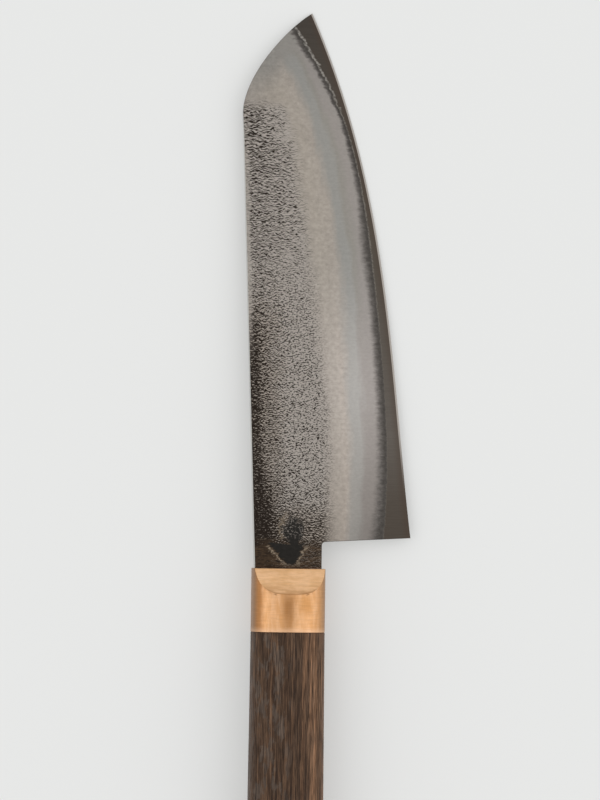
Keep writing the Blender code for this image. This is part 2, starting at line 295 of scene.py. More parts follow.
# Dark band and pale line at the weld
BAND_TIPWARD = (112, 146)
BAND_SOFTNESS = (-0.4, 1.85)
BAND_FULL = 0.7
BAND_CENTRE = (0.95, 0.25)
BAND_TONES = ((98, 93, 89), (76, 72, 68))
BAND_MOTTLE = (0.8, 1.14)
BAND_MOTTLE_SPAN = (0.3, 0.7)
BAND_TIP_SHADE = -0.16
CORE_SHOWS = (0.06, -0.06)
WELD_STRAY = (125, 145, 0.9, 2.2)
WELD_TIPWARD = ((139, 145, 0.1, 0.55), (167, 160))
WELD_PALER = (134, 158)
WELD_WIDTHS = (1, 1.9)
WELD_LINE = ((0.34, 0.06), (0.36, 0.56, 0.25, 1), (55, 107, 0.3, 1))
WELD_TONES = ((110, 104, 97), (142, 137, 130))

# Forge skin: dashes in the high half, crumbs and dots in the low half, partly dark scale and partly
# painted shade in the pits, each with a painted pale highlight on one side
LOW_SKIN = (112, 78)
WAVE_SWAY = (-0.7, 1.6)
DASH_WEIGHT = 4.7
DOTTED_WEIGHT = 4.4
SPECK_WEIGHT = 0.9
# Painted highlight on one side of each dash: its strength, then how far along the lightening copy is moved
PAINTED_LIGHT_SHARE = 0.5
PAINTED_LIGHT_OFFSET = 0.3
FAINT_SIDE = (8, 16, 0, 0.3)
UNDER_CLIP = ((124, 137), (4.5, 9))
UNDER_CLIP_FAINT = 0.35
UNDER_CLIP_PALE = -0.1
SKIN_LEVEL = 0.375
DARK_SHARE = 1 / 6.4
DOTTED_PALE = -0.15
SKIN_TONES = (
    (0, 168, 160, 152),
    (0.22, 153, 146, 138),
    (0.375, 143, 136, 129),
    (0.453, 134, 127, 120),
    (0.5, 114, 107, 100),
    (0.575, 72, 66, 60),
    (0.64, 52, 46, 41),
    (0.75, 45, 39, 35),
    (1, 43, 37, 33),
)
DOT_STAIN = ((0.575, 0.615), (42, 36, 32))
WARM_SCALE = (255, 251, 246)
NECK_SPAN = (0.35, 0.65)
NECK_TONES = ((44, 36, 30), (88, 71, 55))
NECK_PLAIN = (10, 6, 0, 0.72)
FLECK_STAIN = ((0.6, 0.68, 0, 0.9), (7, 12), (2, 7, 0.35, 1), (160, 150, 140))
HAIR_SHADE = 2
SKIN_ROUGHNESS = (0.14, 0.34)
SCALE_ROUGHNESS = 0.1
STROKE_HEIGHT = 0.1
SKIN_BUMP = (0.00006, 0.6)

# The arrow's dark inside and its pale broken rim
ARROW_RAGGED = (4, -2)
ARROW_INSIDE = (0.1, -0.6)
ARROW_TONES = ((34, 33, 31), (54, 51, 48))
SPRINKLE_STAIN = ((0.54, 0.62, 0, 0.9), (7.5, 12.5), (132, 125, 118))
RIM_MIDDLE = 0.45
RIM_LEFT = ((0.5, -1.5), (8.4, 9.6, 0, 0.7))
RIM_TOP = (7.4, 6.4)
RIM_STAIN = ((0.5, 0.1), (0.42, 0.56, 0, 0.9), (0.6, 1.8), (152, 137, 118))

# Rims that both steels share: a dark heel line of painted shade where the heel's end face lies in shadow, and
# a polished spine
HEEL_SHADE_LINE = ((0.22, 0.02, 0, 0.7), (66, 60, 55))
SPINE_RIM = ((0.12, 0.03), (143, 134), (206, 205, 201))

# Core steel
CORE_TONES = (
    (0.03, 74, 67, 60),
    (0.12, 78, 71, 64),
    (0.24, 92, 86, 80),
    (0.5, 82, 76, 69),
    (0.75, 80, 74, 67),
    (0.9, 71, 65, 59),
    (1, 67, 62, 57),
)
CORE_SHADES = (0.93, 1.07)
OUTER_CORE = ((3.2, 0.5, 0, 0.45), (74, 61, 52))
INNER_CORE = ((0.05, 0.35, 0, 0.6), (74, 70, 66))
KEEN_EDGE = ((0.62, 0.5), (0.13 * BLADE_SPAN, 0.26 * BLADE_SPAN), (160, 153, 146))
CORE_BUMP = (0.00001, 0.5)

# Copper collar
CLOUD_SPAN = (0.35, 0.65)
COPPER_TONES = ((219, 164, 112), (232, 181, 134))
# Painted shade on the collar's left side, where its round turns away from the light: how far clouds sway it,
# then where it lies and its tone
LEFT_SIDE_SHADE_SWAY = (1.6, -0.8)
LEFT_SIDE_SHADE = ((-7.4, -9.9, 0, 0.85), (180, 124, 74))
# Painted shade along both edges of the collar, wider on the right, and its tone
SIDE_EDGES_SHADE = (9.8, 11, 0, 0.85)
RIGHT_EDGE_SHADE = (8.2, 10.3, 0, 0.62)
EDGE_SHADE_TONE = (160, 124, 92)
TINTED_PLACE = (4.3, -11)
TINTED_SPOT = ((3.4, 1), (4, 1, 0, 0.55), (198, 142, 84))
# Painted reflection: a darker stripe down the middle of the collar, standing for something dark that it
# mirrors
MIDDLE_REFLECTION_SWAY = (1.2, 0.2)
MIDDLE_REFLECTION_SHADE = ((3.4, 0.3), (-7, -11, 0.45, 0.85), (-12, -19, 1, 0.62), (156, 108, 63))
# Painted highlight: a pale line along the back rim of the collar
BACK_RIM_HIGHLIGHT = ((-17.6, -19.4, 0, 0.4), (246, 206, 172))
FACET_HALVES = (11.5, 8.52)
FACET_TONES = ((226, 178, 128), (240, 194, 148))
FACET_SHADOW = ((-4.2, -7.6), (0.35, 0.6, 0.9, 0.3), (202, 156, 112))
# Painted shade: a dark line along the facet's border, where it turns towards the sides
FACET_BORDER_SHADE = ((0.84, 0.97), (-4.5, -7.6, 0.05, 0.85), (176, 124, 78))
COPPER_SHADES = (0.92, 1.08)
COPPER_STREAK_SHADES = (0.985, 1.015)
COPPER_BUMP = (0.00002, 0.5)

# Oak grip
OAK_TONES = (
    (0.32, 42, 29, 20),
    (0.43, 60, 43, 31),
    (0.54, 82, 61, 45),
    (0.66, 104, 79, 60),
    (0.78, 124, 97, 76),
)
OAK_WARM = ((0.47, 0.62), (0, 7, 0.18, 0.45))
OAK_WARM_TONE = (108, 78, 56)
OAK_WARM_STREAKS = (0.3, 0.7, 0.6, 1.4)
# Painted sheen: grey clouds of reflected light, strongest on the left side, and their tone
OAK_SHEEN = ((0.5, 0.6), (2, -3, 0.08, 0.7), (88, 76, 67))
OAK_FIBRE_SHADES = (0.58, 1.54)
# Painted light: the wood made lighter towards its right side
OAK_RIGHT_SIDE_LIGHT = (1, 9, 0.96, 1.84)
OAK_PORE_EDGE = (0.46, 0.36)
OAK_PORE_SHARE = 0.7
OAK_PORE_TONE = (32, 23, 18)
OAK_ROUGHNESS = (0.2, 0.48)
OAK_STREAK_HEIGHT = 0.5
OAK_GLOSS = 0.15
OAK_BUMP = (0.00006, 0.8)

# Resin
RESIN_TONES = ((128, 84, 40), (160, 112, 56))

# Floor, light and camera
FLOOR_SIZE = 6
FLOOR_COLOUR = (0.815, 0.815, 0.8, 1)
FLOOR_GLOW = 0.38
SKY_COLOUR = (0.97, 0.985, 1, 1)
SKY_STRENGTH = 0.87
LAMP_SIZE = (1.1, 1.9)
LAMP_PLACE = (0.92, 0.05, 1.25)
LAMP_POWER = 2.6
CAMERA_PLACE = (-0.007935, 0.032119, 1.1)
CAMERA_LEAN = 0.01338
CAMERA_LENS = 106.41
CAMERA_SENSOR = 24
CAMERA_RANGE = (0.01, 20)


def pulled(values, share):
    """The value that evenly spaced curve handles give at a share of the way along them."""
    order = len(values) - 1
    return sum(
        math.comb(order, i) * (1 - share) ** (order - i) * share**i * value for i, value in enumerate(values)
    )


def share_between(y, start, end):
    """Share of the way from one place to another, from 0 to 1."""
    return np.clip((y - start) / (end - start), 0, 1)


def smooth_share(y, start, end):
    """The same share, eased in and out."""
    share = share_between(y, start, end)
    return share * share * (3 - 2 * share)


def curve_offset(handles, y):
    """Where a curve pulled by handles lies across the blade at a place along it."""
    steps = np.linspace(0, 1, CURVE_STEPS)
    across = pulled([handle[0] for handle in handles], steps)
    along = pulled([handle[1] for handle in handles], steps)
    order = np.argsort(along)
    return np.interp(y, along[order], across[order])


def edge_handles():
    """Handles of the cutting edge from heel to tip."""
    heel = np.array((HEEL_OFFSET, HEEL_REACH))
    chord = np.array((TIP_OFFSET, BLADE_REACH)) - heel
    outwards = np.array((chord[1], -chord[0])) / np.linalg.norm(chord)
    inner = [tuple(heel + share * chord + bulge * outwards) for share, bulge in EDGE_BELLY]
    return [tuple(heel), *inner, tuple(heel + chord)]


def spine_offset(y):
    """The spine's straight line from the neck to the clip."""
    return -(NECK_SPINE_OFFSET + y / CLIP_CORNER * (SPINE_OFFSET - NECK_SPINE_OFFSET))


def clip_handles():
    """Handles of the clip from the tip down to its corner on the spine."""
    across, back = CLIP_TIP_HANDLE
    high = CLIP_CORNER + CLIP_CORNER_HANDLE
    return [
        (TIP_OFFSET, BLADE_REACH),
        (TIP_OFFSET - across, BLADE_REACH - back),
        (spine_offset(high), high),
        (spine_offset(CLIP_CORNER), CLIP_CORNER),
    ]


def edge_offset(y):
    """The cutting edge's distance from the handle's axis."""
    return curve_offset(edge_handles(), y)


def back_offset(y):
    """The spine, and beyond its corner the clip."""
    return np.where(y <= CLIP_CORNER, spine_offset(y), curve_offset(clip_handles(), y))


def bevel_offset(y):
    """The line where the flat side turns into the bevel."""
    return pulled(BEVEL_LINE, share_between(y, HEEL_REACH, CLIP_CORNER))


def weld_offset(y):
    """The line where the cladding runs out and the core steel shows."""
    return edge_offset(y) - pulled(CORE_STRIP, share_between(y, HEEL_REACH, BLADE_REACH))


def heel_line(x):
    """The heel's short line from the neck's fillet to the cutting edge."""
    share = share_between(x, NECK_EDGE_OFFSET + HEEL_FILLET, HEEL_OFFSET)
    return HEEL_REACH - HEEL_FALL + share * HEEL_FALL


def neck_edge_offset(y):
    """The neck's side under the heel, with its fillet."""
    middle_y = HEEL_REACH - HEEL_FALL - HEEL_FILLET
    rise = np.clip(y - middle_y, 0, HEEL_FILLET)
    return NECK_EDGE_OFFSET + HEEL_FILLET - np.sqrt(HEEL_FILLET**2 - rise**2)


def flat_half_thick(x, y):
    """Half the forging's thickness on its flat sides."""
    tang = NECK_THICK + (NECK_THICK - TANG_END_THICK) * y / TANG_LENGTH
    blade = NECK_THICK - (NECK_THICK - CLIP_THICK) * y / CLIP_CORNER
    return np.where(y < 0, tang, blade) / 2 - FLAT_SLOPE * (x + SPINE_OFFSET)


def side_height(x, y):
    """Half the forging's thickness on the cladding: the flat, then the bevel down to the weld line."""
    inner = CORE_THICK / 2 + WELD_GAP
    bevel = bevel_offset(y)
    share = np.clip((x - bevel) / np.maximum(weld_offset(y) - bevel, JOIN), 0, 1)
    ground = flat_half_thick(bevel, y) * (1 - share) + inner * share
    return np.where(x < bevel, flat_half_thick(x, y), ground)


def core_height(x, y):
    """Half the core's thickness: full up to the weld line, then down to the keen edge."""
    weld = weld_offset(y)
    edge = edge_offset(y)
    share = share_between(x, weld, edge - MICRO_BEVEL)
    worked = CORE_THICK / 2 * (1 - share) + MICRO_BEVEL_HALF * share
    keen = MICRO_BEVEL_HALF * np.clip((edge - x) / MICRO_BEVEL, 0, 1)
    return np.where(x > edge - MICRO_BEVEL, keen, worked)


def clad_end():
    """The place near the tip where the weld line runs out on the clip."""
    places = np.linspace(CLIP_CORNER, BLADE_REACH - JOIN, CLIP_STEPS)
    return float(places[weld_offset(places) > back_offset(places)][-1])


def worn(distance):
    """How far a worn edge lies below its sharp corner, at a distance from it."""
    gone = 1 - np.clip(distance / WORN_EDGE, 0, 1)
    return WORN_EDGE * (1 - np.sqrt(1 - gone * gone))


def rim_distance(x, y):
    """Distance from the outline of the blade, apart from the cutting edge."""
    from_back = x - back_offset(y)
    from_heel = np.where(x > NECK_EDGE_OFFSET + HEEL_FILLET, y - heel_line(x), BLADE_REACH)
    from_neck = np.where(y < HEEL_REACH - HEEL_FALL, neck_edge_offset(y) - x, BLADE_REACH)
    return np.minimum(np.minimum(from_back, from_heel), from_neck)


def lying_pose():
    """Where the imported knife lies, read from the mount on its butt."""
    butt = next(mount for mount in frame["record"]["mounts"] if mount["name"] == "butt_end")
    tilt = math.asin(Vector(butt["axis"]).normalized().z)
    turn = Matrix.Rotation(-tilt, 4, "X") @ Matrix.Rotation(LYING_ROLL, 4, "Y")
    butt_here = turn @ Vector((0, -FERRULE_LENGTH - WOOD_LENGTH, 0))
    return Matrix.Translation(Vector(butt["pos_m"]) - butt_here) @ turn


def rows_of(items, name):
    """What each corner or face of a mesh holds, as rows of x, y and z."""
    flat = np.empty(len(items) * 3, np.float32)
    items.foreach_get(name, flat)
    return flat.reshape(-1, 3).astype(float)


def points_of(piece):
    """Where the corners of a piece are."""
    return rows_of(piece.data.vertices, "co")


def place_points(piece, points):
    """Moves the corners of a piece's mesh."""
    piece.data.vertices.foreach_set("co", points.astype(np.float32).ravel())
    piece.data.update()


def only(piece):
    """Selects one piece and nothing else."""
    bpy.ops.object.select_all(action="DESELECT")
    piece.select_set(True)
    bpy.context.view_layer.objects.active = piece


def edit(piece, kind):
    """Opens a piece for editing by corner, edge or face."""
    only(piece)
    kinds = ("VERT", "EDGE", "FACE")
    bpy.context.tool_settings.mesh_select_mode = [kind == each for each in kinds]
    bpy.ops.object.mode_set(mode="EDIT")


def done():
    """Closes the piece that is being edited."""
    bpy.ops.object.mode_set(mode="OBJECT")


def merge_all():
    """Merges the doubled corners of the piece that is being edited."""
    bpy.ops.mesh.select_all(action="SELECT")
    bpy.ops.mesh.remove_doubles(threshold=JOIN)


def turn_out():
    """Turns all faces of the piece that is being edited outwards and closes it."""
    bpy.ops.mesh.select_all(action="SELECT")
    bpy.ops.mesh.normals_make_consistent(inside=False)
    done()


def pick_faces(piece, chosen):
    """Selects faces by a mask, ready for editing."""
    piece.data.vertices.foreach_set("select", np.zeros(len(piece.data.vertices), bool))
    piece.data.edges.foreach_set("select", np.zeros(len(piece.data.edges), bool))
    piece.data.polygons.foreach_set("select", chosen)


def pick_end(piece, near):
    """Selects the open rim whose corners are all in the mask."""
    pick_faces(piece, np.zeros(len(piece.data.polygons), bool))
    ends = np.empty(len(piece.data.edges) * 2, np.int32)
    piece.data.edges.foreach_get("vertices", ends)
    both = near[ends.reshape(-1, 2)].all(axis=1)
    piece.data.vertices.foreach_set("select", near)
    piece.data.edges.foreach_set("select", both)


def apply_modifier(piece, kind, **settings):
    """Adds a modifier and applies it."""
    only(piece)
    step = piece.modifiers.new(kind.lower(), kind)
    for name, value in settings.items():
        setattr(step, name, value)
    bpy.ops.object.modifier_apply(modifier=step.name)


def press(piece, weights, direction, strength):
    """Moves a piece's surface by a strength, each corner by its own weight; those below 0 stay."""
    group = piece.vertex_groups.new(name="pressed")
    for index in np.nonzero(weights >= 0)[0]:
        group.add([int(index)], float(weights[index]), "REPLACE")
    settings = {"direction": direction, "mid_level": 0, "strength": strength, "vertex_group": group.name}
    apply_modifier(piece, "DISPLACE", **settings)
    piece.vertex_groups.clear()


def add_sheet(name, columns, rows):
    """A flat sheet of squares, with the column and the row of each corner."""
    bpy.ops.mesh.primitive_grid_add(x_subdivisions=columns, y_subdivisions=rows, size=1)
    sheet = bpy.context.active_object
    sheet.name = name
    flat = points_of(sheet)
    column = np.rint((flat[:, 0] + 0.5) * columns).astype(int)
    row = np.rint((flat[:, 1] + 0.5) * rows).astype(int)
    return sheet, column, row


def keep(piece, name, values, each="POINT"):
    """Stores one number for each corner, or each face, for the finish to read."""
    made = piece.data.attributes.new(name, "FLOAT", each)
    made.data.foreach_set("value", np.asarray(values, np.float32).ravel())


def keep_place(piece):
    """Stores each corner's place in the knife's own frame, in millimetres."""
    made = piece.data.attributes.new("place", "FLOAT_VECTOR", "POINT")
    made.data.foreach_set("vector", (points_of(piece) / MM).astype(np.float32).ravel())


def keep_distances(piece):
    """Stores each corner's place and its distances from the blade's lines; the heel is far from the neck."""
    keep_place(piece)
    x, y = points_of(piece)[:, :2].T
    keep(piece, "from_weld", (weld_offset(y) - x) / MM)
    keep(piece, "from_back", (x - back_offset(y)) / MM)
    keep(piece, "from_edge", (edge_offset(y) - x) / MM)
    keep(piece, "from_heel", np.where(x > NECK_EDGE_OFFSET, (y - heel_line(x)) / MM, FAR))


def finish_piece(piece, node, material, angle):
    """Shades a piece, lays it down as the knife lies and lets it stand for its solid."""
    only(piece)
    bpy.ops.object.shade_smooth_by_angle(angle=math.radians(angle))
    piece.matrix_world = lying_pose()
    bpy.ops.object.transform_apply(location=True, rotation=True, scale=True)
    piece.data.materials.clear()
    piece.data.materials.append(material)
    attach(piece, "root")
    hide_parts(node)


def layer_columns(counts):
    """Each column's place, counted from line to line; the spine's columns crowd at the worn edge."""
    even = np.linspace(EVEN_COLUMNS_FROM, 1, counts[0] - len(WORN_COLUMNS) + 1)[:-1]
    groups = [np.concatenate((WORN_COLUMNS, even))]
    for group, count in enumerate(counts[1:], 1):
        groups.append(group + np.arange(count) / count)
    return np.concatenate((*groups, [float(len(counts))]))


def heel_share():
    """Where the neck's side meets the heel, as a share from the spine to the weld line."""
    y = np.array([HEEL_REACH - HEEL_FALL])
    back = float(back_offset(y)[0])
    weld = float(weld_offset(y)[0])
    return (NECK_EDGE_OFFSET + HEEL_FILLET - back) / (weld - back)


def layer_across(position, y, keen):
    """Places across the blade for columns counted from line to line; a keen layer has the edge's too."""
    back = back_offset(y)
    weld = np.maximum(weld_offset(y), back)
    lines = [back, back + heel_share() * (weld - back), weld]
    if keen:
        edge = edge_offset(y)
        micro = edge - np.minimum(MICRO_BEVEL, MICRO_BEVEL_SHARE * (edge - back))
        lines += [np.maximum(micro, weld), edge]
    lines = np.array(lines)
    low = np.minimum(position.astype(int), len(lines) - 2)
    share = position - low
    index = np.arange(len(y))
    return lines[low, index] * (1 - share) + lines[low + 1, index] * share


def layer_sheet(name, counts, reach):
    """One open sheet in the blade's outline: blade, neck and tang, drawn row by row."""
    keen = len(counts) > 2
    neck_column = counts[0]
    heel_row = TANG_ROWS + NECK_ROWS + FILLET_ROWS
    sheet, column, row = add_sheet(name, sum(counts), heel_row + BODY_ROWS)
    places = layer_columns(counts)
    position = places[column]

    # The blade above the heel
    heel_y = HEEL_REACH - HEEL_FALL
    first = np.full(len(row), heel_y)
    for _ in range(HEEL_ROUNDS):
        across = layer_across(position, first, keen)
        first = np.where(column > neck_column, heel_line(across), heel_y)
    share = np.clip((row - heel_row) / BODY_ROWS, 0, 1)
    y = first + share * (reach - first)
    x = layer_across(position, y, keen)

    # The neck below the heel's row
    fillet_y = heel_y - HEEL_FILLET
    in_fillet = (row < heel_row) & (row >= heel_row - FILLET_ROWS)
    turn = (row - heel_row + FILLET_ROWS) / FILLET_ROWS * math.pi / 2
    y = np.where(in_fillet, fillet_y + HEEL_FILLET * np.sin(turn), y)
    in_neck = (row < heel_row - FILLET_ROWS) & (row >= TANG_ROWS)
    y = np.where(in_neck, SHOULDER + (row - TANG_ROWS) / NECK_ROWS * (fillet_y - SHOULDER), y)
    below = (row < heel_row) & (row >= TANG_ROWS)
    inside = np.clip(position, 0, 1)
    spine = spine_offset(y)
    x = np.where(below, spine + inside * (neck_edge_offset(y) - spine), x)

    # The tang, from the neck's middle columns
    spine = float(spine_offset(SHOULDER))
    neck_x = spine + np.clip(places, 0, 1) * (NECK_EDGE_OFFSET - spine)
    half = TANG_FRONT_WIDTH / 2
    first_column = int(np.argmin(np.abs(neck_x[:neck_column] + half)))
    last_column = int(np.argmin(np.abs(neck_x[:neck_column] - half)))
    tang_share = (TANG_ROWS - row) / TANG_ROWS
    tang_y = SHOULDER + tang_share * (-TANG_LENGTH - SHOULDER)
    tang_half = half + (TANG_END_WIDTH / 2 - half) * tang_share
    across = (column - first_column) / (last_column - first_column) * 2 - 1
    in_tang = row < TANG_ROWS
    y = np.where(in_tang, tang_y, y)
    x = np.where(in_tang, across * tang_half, x)
    shoulder = (row == TANG_ROWS) & (column >= first_column) & (column <= last_column)
    x = np.where(shoulder, across * half, x)
    place_points(sheet, np.column_stack((x, y, np.zeros(len(x)))))

    # Faces outside the outline go
    corners = np.empty(len(sheet.data.polygons) * 4, np.int32)
    sheet.data.polygons.foreach_get("vertices", corners)
    corners = corners.reshape(-1, 4)
    face_column = column[corners].min(axis=1)
    face_row = row[corners].min(axis=1)
    beside_neck = (face_row < heel_row) & (face_column >= neck_column)
    beside_tang = (face_row < TANG_ROWS) & ((face_column < first_column) | (face_column >= last_column))
    pick_faces(sheet, beside_neck | beside_tang)
    edit(sheet, "FACE")
    bpy.ops.mesh.delete(type="FACE")
    done()
    return sheet


def close_onto(piece, height):
    """Draws the rim of an open sheet down to a flat height, with the drawn rim left selected."""
    edit(piece, "EDGE")
    bpy.ops.mesh.select_all(action="SELECT")
    bpy.ops.mesh.region_to_loop()
    bpy.ops.mesh.extrude_region_move()
    bpy.ops.transform.resize(value=(1, 1, 0), center_override=(0, 0, height))


def ripple(x, y, wide, tall, seed):
    """Soft noise from -1 to 1 with waves of the given width and height."""
    return np.array([noise.noise((a / wide, b / tall, seed)) for a, b in zip(x, y)])


def skin_fields(x, y, seed):
    """Broad fields of the forge skin at places in millimetres: its share, dark scale, neck, darkness."""
    from_back = x - back_offset(y * MM) / MM
    drift, ragged, hairs, clusters = (
        ripple(x, y, wide, tall, seed + own_seed) for wide, tall, own_seed in SKIN_RIPPLES
    )

    def below(value, drift_sway, cluster_sway, start, end):
        """Share of a field that is full below its start and gone above its end."""
        return 1 - smooth_share(value + drift_sway * drift + cluster_sway * clusters, start, end)

    limit = bevel_offset(y * MM) / MM + SKIN_PAST_BEVEL
    for wider, start, end in SKIN_WIDER:
        limit = limit + wider * smooth_share(y, start, end)
    skin = smooth_share(limit + drift + RAGGED_SWAY * ragged + HAIR_SWAY * hairs - x, *SKIN_FADE)
    skin = skin * smooth_share(CLIP_SKIN_END + CLIP_SKIN_DRIFT * drift + hairs - y, *CLIP_SKIN_FADE)
    bare = (1 - below(y, *BARE_BOTTOM)) * below(y, *BARE_TOP)
    bare = bare * (1 - smooth_share(from_back + BARE_RAGGED * ragged, *BARE_WIDTH))

    scale = below(y, *LOW_HALF) * below(from_back, *SCALE_EDGE)
    neck = below(y + NECK_SLANT * (x - NECK_SLANT_FROM), *NECK_TOP)
    border_width = BORDER_WIDTH + BORDER_WIDER * below(y, *BORDER_WIDENS)
    border = below(from_back - border_width, *BORDER_EDGE) * below(y, *BORDER_TOP)
    across, along = HIGH_PLACE
    wide, tall = HIGH_SIZE
    high = 1 - smooth_share(np.hypot((from_back - across) / wide, (y - along) / tall), *HIGH_FADE)

    dark = DARK_LEVEL - (1 - below(from_back, *BACK_DARK)) + clusters
    for weight, field in zip(DARK_WEIGHTS, (high, scale, below(y, *HEEL_DARK), neck, border, bare)):
        dark = dark + weight * field
    dark = dark - PALE_SIDE_WEIGHT * smooth_share(from_back, *PALE_SIDE) * (1 - neck)
    return skin * (1 - BARE_SKIN * bare), np.maximum(np.maximum(scale, neck), border), neck, dark


def arrow_distance(x, y):
    """Distance from the rim of the bare arrow and the lobe above it in millimetres, below 0 inside."""
    sides = []
    for steepness, direction, foot_x, foot_y, slope in ARROW_SIDES:
        sides.append(steepness * (direction * (x - foot_x) - slope * (y - foot_y)))
    foot, top = ARROW_ENDS
    wedge = np.maximum(np.maximum(*sides), np.maximum(foot - y, y - top))
    off_lobe = np.hypot((x - LOBE_PLACE[0]) / LOBE_SIZE[0], (y - LOBE_PLACE[1]) / LOBE_SIZE[1])
    return np.minimum(wedge, LOBE_STEEPNESS * (off_lobe - 1))


def forged_side(name, node, side, seed, material):
    """One cladding layer: pitted forge skin on the flat, ground bevel down to the weld line."""
    inner = CORE_THICK / 2 + WELD_GAP
    sheet = layer_sheet(name, (PITTED_COLUMNS, GROUND_COLUMNS), clad_end())
    points = points_of(sheet)
    x, y = points[:, 0], points[:, 1]
    height = side_height(x, y) - worn(rim_distance(x, y))
    points[:, 2] = side * np.maximum(height, inner)
    place_points(sheet, points)
    close_onto(sheet, side * inner)
    bpy.ops.mesh.edge_face_add()
    merge_all()
    turn_out()

    points = points_of(sheet)
    x, y = points[:, 0] / MM, points[:, 1] / MM
    skin, scale, neck, dark = skin_fields(x, y, seed)
    wide, tall, own_seed = PIT_WAVE
    wave = ripple(x, y, wide, tall, seed + own_seed)
    dashes = ripple(x, y + PIT_SWAY * wave, *PIT_DASH, seed)
    dark = dark + PIT_DASH_WEIGHT * dashes / dashes.std()
    above = np.clip((side * points[:, 2] - inner) / SOFT_RIM, 0, 1)
    rim = smooth_share(rim_distance(points[:, 0], points[:, 1]), 0, SOFT_RIM)
    depth = smooth_share(dark, *PIT_LEVELS) * skin * above * rim
    press(sheet, np.where(depth > LEAST_PIT, depth, -1), "Z", -side * PIT_DEPTH)

    keep_distances(sheet)
    keep(sheet, "band_width", np.interp(points[:, 1], BAND_PLACES, BAND_WIDTHS))
    keep(sheet, "skin", skin)
    keep(sheet, "scale", scale)
    keep(sheet, "neck", neck)
    keep(sheet, "dark", dark)
    keep(sheet, "arrow", arrow_distance(x, y))
    finish_piece(sheet, node, material, FORGED_ANGLE)


def hard_core(material):
    """The core: a flat bar under the claddings that comes out as the strip along the cutting edge."""
    sheet = layer_sheet("hard_core", CORE_COLUMNS, BLADE_REACH)
    points = points_of(sheet)
    x, y = points[:, 0], points[:, 1]
    wear = CORE_WEAR * worn(rim_distance(x, y)) * (x < weld_offset(y))
    points[:, 2] = np.maximum(core_height(x, y) - wear, 0)
    place_points(sheet, points)
    close_onto(sheet, 0)
    merge_all()
    turn_out()
    mirrored = {"use_axis": (False, False, True), "use_mirror_merge": True, "merge_threshold": JOIN}
    apply_modifier(sheet, "MIRROR", **mirrored)
    edit(sheet, "FACE")
    merge_all()
    turn_out()
    keep_distances(sheet)
    finish_piece(sheet, "core_steel", material, CORE_ANGLE)


def grip_size(y):
    """Width and thickness of the grip at a place along it."""
    places = (-FERRULE_LENGTH - WOOD_LENGTH, -FERRULE_LENGTH, 0)
    sizes = zip(BUTT_SIZE, JOINT_SIZE, FRONT_SIZE)
    return tuple(float(np.interp(y, places, size)) - SECTION_EASE for size in sizes)


def turned_bar(name, rings):
    """A closed bar of boxy oval rings, each given as place along, width and thickness."""
    bar, column, row = add_sheet(name, GRIP_POINTS, len(rings) - 1)
    rings = np.array(rings)
    angle = column / GRIP_POINTS * 2 * math.pi
    cos, sin = np.cos(angle), np.sin(angle)
    power = 2 / SECTION_POWER
    x = np.sign(cos) * np.abs(cos) ** power * rings[row, 1] / 2
    z = np.sign(sin) * np.abs(sin) ** power * rings[row, 2] / 2
    place_points(bar, np.column_stack((x, rings[row, 0], z)))
    edit(bar, "EDGE")
    merge_all()
    for end in (0, -1):
        bpy.ops.mesh.select_all(action="DESELECT")
        done()
        pick_end(bar, np.abs(points_of(bar)[:, 1] - rings[end, 0]) < JOIN)
        edit(bar, "EDGE")
        bpy.ops.mesh.edge_face_add()
    turn_out()
    return bar


def tang_bar(name, front, room):
    """A four-sided bar that stands off the tang all round by the given room."""
    sizes = []
    for y in (front, -TANG_LENGTH):
        width = float(np.interp(y, (-TANG_LENGTH, SHOULDER), (TANG_END_WIDTH, TANG_FRONT_WIDTH)))
        sizes.append((width / 2 + room, float(flat_half_thick(-width / 2, y)) + room))
    bpy.ops.mesh.primitive_cube_add(size=2)
    bar = bpy.context.active_object
    bar.name = name
    points = points_of(bar)
    at_front = points[:, 1] > 0
    points[:, 0] *= np.where(at_front, sizes[0][0], sizes[1][0])
    points[:, 2] *= np.where(at_front, sizes[0][1], sizes[1][1])
    points[:, 1] = np.where(at_front, front, -TANG_LENGTH - room)
    place_points(bar, points)
    return bar


def cut(piece, tool):
    """Cuts a piece with a tool and throws the tool away."""
    apply_modifier(piece, "BOOLEAN", operation="DIFFERENCE", solver="EXACT", object=tool)
    bpy.data.objects.remove(tool, do_unlink=True)


def rounded_end(y, size, radius, direction):
    """Rings that round the end of a bar off; direction is +1 where the bar ends towards the tip."""
    rings = []
    for step in range(ROUNDING_RINGS + 1):
        turn = step / ROUNDING_RINGS * math.pi / 2
        less = 2 * radius * (1 - math.sin(turn))
        back = radius * (1 - math.cos(turn))
        rings.append((y - direction * back, size[0] - less, size[1] - less))
    return rings


